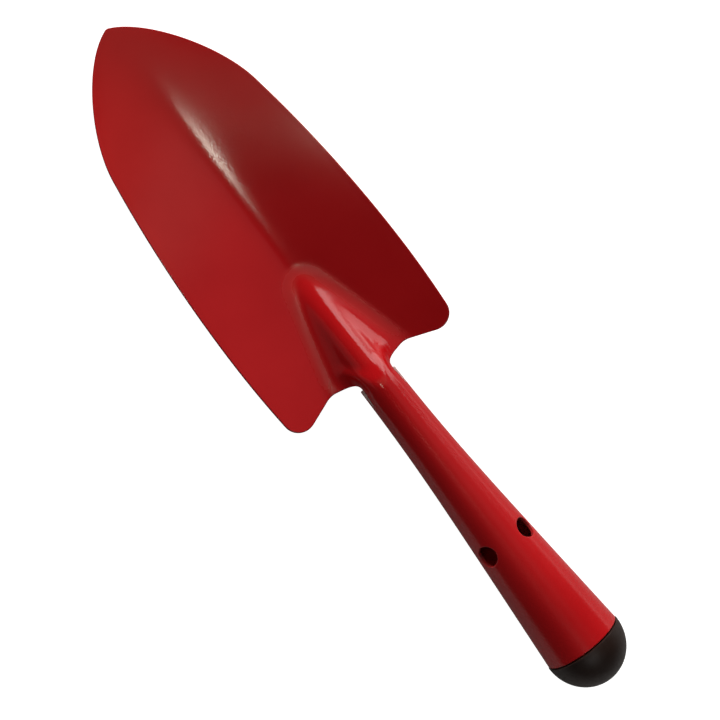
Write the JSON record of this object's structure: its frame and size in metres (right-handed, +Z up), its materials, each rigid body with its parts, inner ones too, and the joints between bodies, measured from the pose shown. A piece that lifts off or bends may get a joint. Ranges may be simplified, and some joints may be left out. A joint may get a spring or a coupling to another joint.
{
  "type": "garden hand trowel",
  "caption": "Hand trowel for planting, pressed from one steel sheet: shallow pointed scoop, raised neck and rolled tapering handle with hanging holes and a domed end cap.",
  "frame": {"origin": "under the middle of the trowel, on the level that the keel and the cap rest on", "axes": "+X along the trowel from the cap to the tip, +Y to the left when looking along +X, +Z up out of the scoop. The XZ plane is the plane of symmetry."},
  "size_m": [0.3169, 0.0816, 0.032],
  "materials": {
    "coated_steel": "glossy red powder coat with a faint orange peel",
    "cap_plastic": "satin black moulded plastic"
  },
  "bodies": {
    "root": {"trowel_body": "coated_steel", "end_cap": "cap_plastic"}
  },
  "joints": []
}
